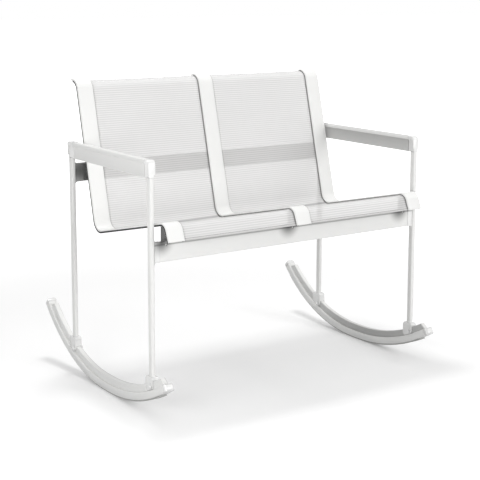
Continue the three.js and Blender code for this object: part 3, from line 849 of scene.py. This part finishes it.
def rail_section(width, above, below, settings):
    """A rail's section, depth downwards: round shoulders and a groove in each side."""
    half, groove = width / 2, settings.groove_height / 2
    inner = half - settings.groove_depth
    shoulder = settings.shoulder
    edge = min(settings.edge, below - groove - GROOVE_GAP)
    right = (
        corner(half - shoulder, shoulder - above, shoulder, -90)
        + [(half, -groove), (inner, -groove), (inner, groove), (half, groove)]
        + corner(half - edge, below - edge, edge, 0)
    )
    left = [(-x, y) for x, y in reversed(right)]
    return [(x, y, 0) for x, y in right + left]


def bare_grooves(rail, middle_x, floor_x, bare):
    """Gives a rail's groove faces a near-black material of painted shade: those that reach in to a
    floor.
    """
    mesh = rail.data
    mesh.materials.append(bare)
    for face in mesh.polygons:
        xs = [mesh.vertices[v].co.x - middle_x for v in face.vertices]
        one_side = min(xs) > 0 or max(xs) < 0
        if one_side and min(abs(x) for x in xs) < floor_x + GROOVE_GAP:
            face.material_index = 1


def line_depths(node, line):
    """How far a node reaches over and under a line, on the line's longest stretch."""
    spans = [(b - a).length for a, b in zip(line, line[1:])]
    k = spans.index(max(spans))
    a, b = line[k], line[k + 1]
    along = (b - a).normalized()
    up = Vector((-along.y, along.x))
    depths = []
    for vertex in nodes[node].data.vertices:
        at = Vector((vertex.co.y, vertex.co.z)) - a
        if abs(at.dot(along)) < DEPTH_SPAN and abs(at.dot(up)) < DEPTH_REACH:
            depths.append(at.dot(up))
    return max(depths), -min(depths)


class BENCH_OT_rails(bpy.types.Operator):
    """Sweeps the three grooved rails along the seat line"""

    bl_idname = "bench.rails"
    bl_label = "Sweep rails"

    def execute(self, context):
        settings = context.scene.bench_rails
        line = middle_line("left_sling")
        line[0] = line[0] - (line[1] - line[0]).normalized() * settings.end_run
        line[-1] = line[-1] + (line[-1] - line[-2]).normalized() * settings.end_run
        points = smooth_line(line, settings.smooth_steps)
        above, below = line_depths("left_seat_rail", line)
        tree = section_tree()
        paint = context.scene.bench_paint
        # Near-black painted shade for the grooves
        bare = coated_material(
            "bare_groove", paint.bare_colour, ROUGHNESS["bare"],
            paint.peel_size, paint.peel_height, metallic=0.3,
        )
        for name in RAILS:
            node = f"{name}_seat_rail"
            middle = box_middle(node)
            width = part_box(node)[1].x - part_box(node)[0].x
            source = polyline_object(f"{name}_line", [(middle.x, p.x, p.y) for p in points])
            section = polyline_object(
                f"{name}_section", rail_section(width, above, below, settings), closed=True
            )
            rail = grown_by(
                tree, source, f"{name}_rail_sweep",
                {"Section": section, "Material": nodes[node].data.materials[0]},
            )
            bpy.data.objects.remove(section)
            bare_grooves(rail, middle.x, width / 2 - settings.groove_depth, bare)
            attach(rail, BODY)
            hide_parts(node)
        return {"FINISHED"}


# ---- slings ----

# A row across the cloth: its middle and up vector, how far it sags, and how far along
# the cloth it is, from the front end and from the nearer end
Row = namedtuple("Row", "at up sag run from_end")


def run_to(line, last):
    """The length of a line from its first point to another one."""
    return sum((b - a).length for a, b in zip(line[:last], line[1:last + 1]))


def cloth_rows(settings, line):
    """The rows of the cloth along a line."""
    total = run_to(line, len(line) - 1)
    rows, run = [], 0.0
    for i, at in enumerate(line):
        if i:
            run += (at - line[i - 1]).length
        before, after = line[max(i - 1, 0)], line[min(i + 1, len(line) - 1)]
        along = (after - before).normalized()
        up = Vector((-along.y, along.x))
        off_middle = abs(run / total - 0.5) / 0.5
        curl = min(1.0, max(0.0, off_middle - CURL_START) / CURL_EASE)
        ease = curl * curl * (3 - 2 * curl)
        sag = settings.seat_sag + (settings.curl_sag - settings.seat_sag) * ease
        rows.append(Row(at, up, sag, run, min(run, total - run)))
    return rows


class Cloth:
    """One sling's cloth: rows along the seat line, crossed by columns of cells."""

    def __init__(self, settings, node):
        self.settings = settings
        low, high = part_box(node)
        self.width, self.middle_x = high.x - low.x, (low.x + high.x) / 2
        line = spread_out(smooth_line(middle_line(node), CLOTH_STEPS), settings.row_step)
        self.rows = cloth_rows(settings, line)
        self.total = self.rows[-1].run
        # Places across the cloth, in widths from its middle
        self.places = [c / settings.columns - 0.5 for c in range(settings.columns + 1)]

    def point(self, row, place, rise):
        """A point at a place on a row, at a rise over the cloth's middle surface."""
        drop = row.sag * (1 - (2 * place) ** 2)
        spot = row.at + row.up * (rise - drop)
        return (self.middle_x + place * self.width, spot.x, spot.y)

    def half_thickness(self, row):
        hem = min(1.0, max(0.0, (self.settings.hem_depth - row.from_end) / HEM_SLOPE))
        return (self.settings.thickness + self.settings.hem_rise * hem) / 2

    def mesh(self, name):
        """The closed sheet: an upper and a lower face joined along all four edges."""
        vertices, uvs = [], []
        for side in (1, -1):
            for row in self.rows:
                for place in self.places:
                    vertices.append(self.point(row, place, side * self.half_thickness(row)))
                    uvs.append((place * self.width, row.run))
        columns, last = self.settings.columns, len(self.rows) - 1
        across, layer = columns + 1, len(self.rows) * (columns + 1)
        faces = []
        for r in range(last):
            for c in range(columns):
                a = r * across + c
                top = (a, a + 1, a + across + 1, a + across)
                faces.append(top)
                faces.append(tuple(layer + v for v in reversed(top)))
        for r in range(last):
            for c in (0, columns):
                a, b = r * across + c, (r + 1) * across + c
                side_face = (a, b, layer + b, layer + a)
                faces.append(side_face if c == 0 else side_face[::-1])
        for c in range(columns):
            for r in (0, last):
                a, b = r * across + c, r * across + c + 1
                end_face = (b, a, layer + a, layer + b)
                faces.append(end_face if r == 0 else end_face[::-1])
        mesh = bpy.data.meshes.new(name)
        mesh.from_pydata(vertices, [], faces)
        mesh.polygons.foreach_set("use_smooth", [True] * len(mesh.polygons))
        uv_layer = mesh.uv_layers.new(name="cloth")
        for loop in mesh.loops:
            uv_layer.data[loop.index].uv = uvs[loop.vertex_index]
        mesh.validate()
        return mesh

    def stitch_lines(self, name):
        """Two lines along each hem, on the cloth's upper face."""
        points, edges = [], []
        for rows in (self.rows, self.rows[::-1]):
            for inset in (STITCH_INSET, STITCH_INSET + self.settings.stitch_gap):
                row = next(r for r in rows if r.from_end >= self.settings.hem_depth - inset)
                for c, place in enumerate(self.places):
                    if c:
                        edges.append((len(points) - 1, len(points)))
                    points.append(self.point(row, place * STITCH_SHARE, self.half_thickness(row)))
        mesh = bpy.data.meshes.new(name)
        mesh.from_pydata(points, edges, [])
        return mesh


class BENCH_OT_slings(bpy.types.Operator):
    """Stretches the two woven slings between the rails and stitches their hems"""

    bl_idname = "bench.slings"
    bl_label = "Stretch slings"

    def execute(self, context):
        settings = context.scene.bench_slings
        low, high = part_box("left_sling")
        line = middle_line("left_sling")
        lowest = min(range(len(line)), key=lambda i: line[i].y)
        cloth_material = sling_material(
            settings, high.x - low.x, run_to(line, len(line) - 1), run_to(line, lowest)
        )
        thread = coated_material(
            "sewing_thread", settings.yarn_colour, ROUGHNESS["thread"], *THREAD_RIPPLES
        )
        stitches = stitch_tree()
        for side in SIDES:
            self.stretch(settings, side, cloth_material, thread, stitches)
        return {"FINISHED"}

    def stretch(self, settings, side, cloth_material, thread, stitches):
        node = f"{side}_sling"
        shape = Cloth(settings, node)
        cloth = new_piece(
            f"{side}_sling_cloth", shape.mesh(f"{side}_sling_cloth"), cloth_material
        )
        source = new_piece(
            f"{side}_stitch_lines", shape.stitch_lines(f"{side}_stitch_lines"), None
        )
        seam = grown_by(
            stitches, source, f"{side}_sling_stitches",
            {
                "Pitch": settings.stitch_pitch, "Length": settings.stitch_length,
                "Radius": settings.stitch_radius, "Material": thread,
            },
        )
        for piece in (cloth, seam):
            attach(piece, BODY)
        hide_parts(node)


# ---- stage ----

FLOOR_HALF = 40.0
# The floor's glow, which fades it into the background: where it starts and is full, from
# under the bench outwards, and its strength up to the start
GLOW_START, GLOW_END, GLOW_LOW = 0.9, 3.2, 0.14
# How high a ray points where the sky has its full strength
SKY_TOP = 0.9
# Each lamp's place, its width and height, and the setting that holds its power
LAMPS = {
    "overhead_lamp": ((0.05, 0.5, 2.9), (0.6, 0.6), "key_power"),
    "left_lamp": ((-1.45, -0.8, 0.6), (0.8, 0.6), "left_power"),
    "front_lamp": ((1.2, -4.2, 1.3), (3.4, 2.2), "front_power"),
    "right_lamp": ((2.0, -1.6, 2.4), (0.9, 0.9), "right_power"),
}
LAMP_AIM = (0, LEG_MIDDLE_Y, 0.4)


def area_lamp(name, place, size, power):
    """A lamp that points at the middle of the bench."""
    data = bpy.data.lights.new(name, "AREA")
    data.shape = "RECTANGLE"
    data.size, data.size_y = size
    data.energy = power
    lamp = bpy.data.objects.new(name, data)
    bpy.context.scene.collection.objects.link(lamp)
    lamp.location = place
    lamp.rotation_euler = (Vector(LAMP_AIM) - Vector(place)).to_track_quat("-Z", "Y").to_euler()


def seen_directly(tree):
    """1 for rays that show the background as it is: from the camera, and off or through gloss."""
    rays = tree.nodes.new("ShaderNodeLightPath").outputs
    mirrored = calculate(tree, "ADD", rays["Is Camera Ray"], rays["Is Glossy Ray"], clamp=True)
    return calculate(tree, "ADD", mirrored, rays["Is Transmission Ray"], clamp=True)


class BENCH_OT_stage(bpy.types.Operator):
    """Lays the floor, hangs the lamps and sets the camera"""

    bl_idname = "bench.stage"
    bl_label = "Set stage"

    def execute(self, context):
        settings = context.scene.bench_stage
        self.lay_floor(settings)
        self.light(settings)
        self.set_camera(settings)
        context.scene.view_settings.view_transform = "Standard"
        return {"FINISHED"}

    def lay_floor(self, settings):
        plane = bmesh.new()
        bmesh.ops.create_grid(plane, x_segments=1, y_segments=1, size=FLOOR_HALF)
        mesh = bpy.data.meshes.new("floor")
        plane.to_mesh(mesh)
        plane.free()
        material, tree, shader = new_material("pale_floor")
        seen = seen_directly(tree)
        base = blend(tree, seen, (*settings.floor_bounce, 1), (*settings.floor_colour, 1))
        tree.links.new(base, shader.inputs["Base Color"])
        shader.inputs["Roughness"].default_value = ROUGHNESS["floor"]
        shader.inputs["Specular IOR Level"].default_value = 0.0
        where = tree.nodes.new("ShaderNodeTexCoord")
        reach = vector_calculate(tree, "LENGTH", where.outputs["Object"])
        fade = ramp(tree, reach, GLOW_START, GLOW_END, GLOW_LOW, 1.0)
        glow = calculate(tree, "MULTIPLY", fade, seen)
        shader.inputs["Emission Color"].default_value = (1, 1, 1, 1)
        tree.links.new(glow, shader.inputs["Emission Strength"])
        floor = new_piece("floor", mesh, material)

    def light(self, settings):
        scene = bpy.context.scene
        world = scene.world or bpy.data.worlds.new("studio")
        scene.world = world
        world.use_nodes = True
        tree = world.node_tree
        sky = tree.nodes["Background"]
        sky.inputs["Color"].default_value = (1, 1, 1, 1)
        direction = tree.nodes.new("ShaderNodeTexCoord")
        split = tree.nodes.new("ShaderNodeSeparateXYZ")
        tree.links.new(direction.outputs["Generated"], split.inputs[0])
        dome = ramp(tree, split.outputs["Z"], 0.0, SKY_TOP, settings.horizon, settings.sky)
        # The background that shows is always white
        strength = ramp(tree, seen_directly(tree), 0.0, 1.0, dome, 1.0, smooth=False)
        tree.links.new(strength, sky.inputs["Strength"])
        for name, (place, size, power) in LAMPS.items():
            area_lamp(name, place, size, getattr(settings, power))

    def set_camera(self, settings):
        data = bpy.data.cameras.new("camera")
        camera = bpy.data.objects.new("camera", data)
        scene = bpy.context.scene
        scene.collection.objects.link(camera)
        scene.camera = camera
        data.sensor_width = 36.0
        data.lens = settings.lens
        data.shift_y = -settings.axis_rise
        data.clip_start, data.clip_end = 0.05, 100
        turn, tilt, roll = settings.azimuth, settings.elevation, settings.roll
        level = math.cos(tilt)
        back = Vector((math.sin(turn) * level, -math.cos(turn) * level, math.sin(tilt)))
        right = Vector((math.cos(turn), math.sin(turn), 0))
        up = back.cross(right)
        right, up = (
            right * math.cos(roll) + up * math.sin(roll),
            up * math.cos(roll) - right * math.sin(roll),
        )
        aim = Vector(settings.aim) + Vector((0, LEG_MIDDLE_Y, 0))
        turned = Matrix((right, up, back)).transposed().to_4x4()
        camera.matrix_world = Matrix.Translation(aim + back * settings.distance) @ turned


class BENCH_PT_panel(bpy.types.Panel):
    """Lists the steps that finish the bench"""

    bl_idname = "BENCH_PT_panel"
    bl_label = "Rocking bench"
    bl_space_type = "VIEW_3D"
    bl_region_type = "UI"
    bl_category = "Bench"

    def draw(self, context):
        for operator in OPERATORS:
            self.layout.operator(operator.bl_idname)
        for group in SETTINGS:
            for name in SETTINGS[group].__annotations__:
                self.layout.prop(getattr(context.scene, group), name)


SETTINGS = {
    "bench_paint": BenchPaintSettings,
    "bench_rails": BenchRailSettings,
    "bench_slings": BenchSlingSettings,
    "bench_stage": BenchStageSettings,
}
OPERATORS = (BENCH_OT_paint, BENCH_OT_rails, BENCH_OT_slings, BENCH_OT_stage)


def register():
    for name, group in SETTINGS.items():
        bpy.utils.register_class(group)
        setattr(bpy.types.Scene, name, PointerProperty(type=group))
    for operator in OPERATORS:
        bpy.utils.register_class(operator)
    bpy.utils.register_class(BENCH_PT_panel)


def unregister():
    bpy.utils.unregister_class(BENCH_PT_panel)
    for operator in reversed(OPERATORS):
        bpy.utils.unregister_class(operator)
    for name, group in reversed(SETTINGS.items()):
        delattr(bpy.types.Scene, name)
        bpy.utils.unregister_class(group)


def main():
    register()
    bpy.ops.bench.stage()
    bpy.ops.bench.paint()
    bpy.ops.bench.rails()
    bpy.ops.bench.slings()


if __name__ == "__main__":
    main()
